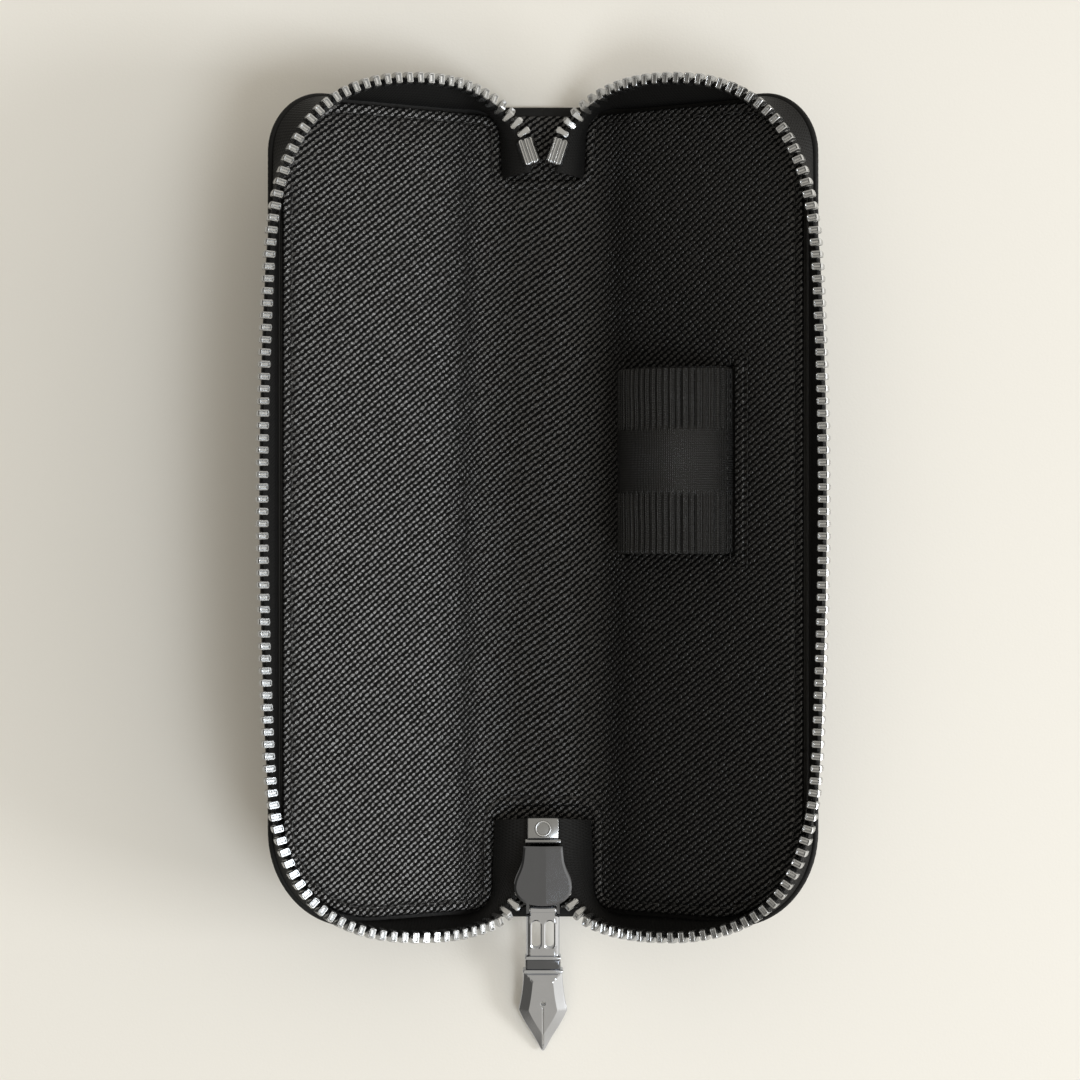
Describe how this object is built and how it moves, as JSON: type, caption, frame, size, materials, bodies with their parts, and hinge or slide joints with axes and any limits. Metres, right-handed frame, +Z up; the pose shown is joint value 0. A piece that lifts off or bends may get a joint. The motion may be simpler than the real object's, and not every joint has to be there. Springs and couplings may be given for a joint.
{
  "type": "zip-round pen case",
  "caption": "Slim zip-round leather pen case lying open on its spine, with an elastic pen loop and a nib-shaped zip puller",
  "frame": {"origin": "middle of the spine's underside, where the open case stands on the table", "axes": "+X across the case to the half with the pen loop, +Y along the spine away from the slider, +Z up"},
  "size_m": [0.1112, 0.1969, 0.0377],
  "materials": {
    "cover_leather": "crosshatch print, satin",
    "lining_leather": "crosshatch print, satin",
    "board": "plain",
    "foam": "plain",
    "zip_tape": "woven, matt",
    "zip_teeth": "polished plating",
    "dark_polish": "dark mirror polish",
    "slider_metal": "polished plating",
    "steel": "plain",
    "puller_metal": "polished plating",
    "elastic": "ribbed elastic band, low sheen"
  },
  "bodies": {
    "spine": {"bottom_stop": "slider_metal", "chain_end_bottom_left": "zip_teeth", "chain_end_bottom_right": "zip_teeth", "chain_end_top_left": "zip_teeth", "chain_end_top_right": "zip_teeth", "cover_spine": "cover_leather", "lining_spine": "lining_leather", "spine_stiffener": "board", "tape_end_bottom_left": "zip_tape", "tape_end_bottom_right": "zip_tape", "tape_end_top_left": "zip_tape", "tape_end_top_right": "zip_tape", "top_stop_left": "zip_teeth", "top_stop_right": "zip_teeth"},
    "left_half": {"board_left": "board", "cover_left": "cover_leather", "lining_left": "lining_leather", "padding_left": "foam", "teeth_left": "zip_teeth", "zip_tape_left": "zip_tape"},
    "right_half": {"board_right": "board", "cover_right": "cover_leather", "lining_right": "lining_leather", "loop_binding": "lining_leather", "padding_right": "foam", "pen_loop": "elastic", "teeth_right": "zip_teeth", "zip_tape_right": "zip_tape"},
    "slider": {"lock_spring": "steel", "puller_pin": "steel", "slider_body": "slider_metal", "slider_cap": "dark_polish"},
    "puller": {"puller_collar": "puller_metal", "puller_nib": "puller_metal", "puller_shank": "puller_metal"}
  },
  "joints": [
    {"name": "left_fold", "type": "hinge", "parent": "spine", "child": "left_half", "pos_m": [-0.0113, 0, 0.002], "axis": [0, 1, 0], "range_deg": [-33, 61.5], "deforming": ["cover_spine", "spine_stiffener", "lining_spine", "tape_end_top_left", "tape_end_bottom_left", "chain_end_top_left", "chain_end_bottom_left"]},
    {"name": "right_fold", "type": "hinge", "parent": "spine", "child": "right_half", "pos_m": [0.0113, 0, 0.002], "axis": [0, -1, 0], "range_deg": [-33, 61.5], "deforming": ["cover_spine", "spine_stiffener", "lining_spine", "tape_end_top_right", "tape_end_bottom_right", "chain_end_top_right", "chain_end_bottom_right"]},
    {"name": "slider_travel", "type": "slide", "parent": "spine", "child": "slider", "axis": [0, -1, 0], "range_m": [0, 0.004], "deforming": ["tape_end_bottom_left", "tape_end_bottom_right", "chain_end_bottom_left", "chain_end_bottom_right"]},
    {"name": "puller_hinge", "type": "hinge", "parent": "slider", "child": "puller", "pos_m": [0, -0.0802, 0.0083], "axis": [-1, 0, 0], "range_deg": [-30, 50]}
  ]
}
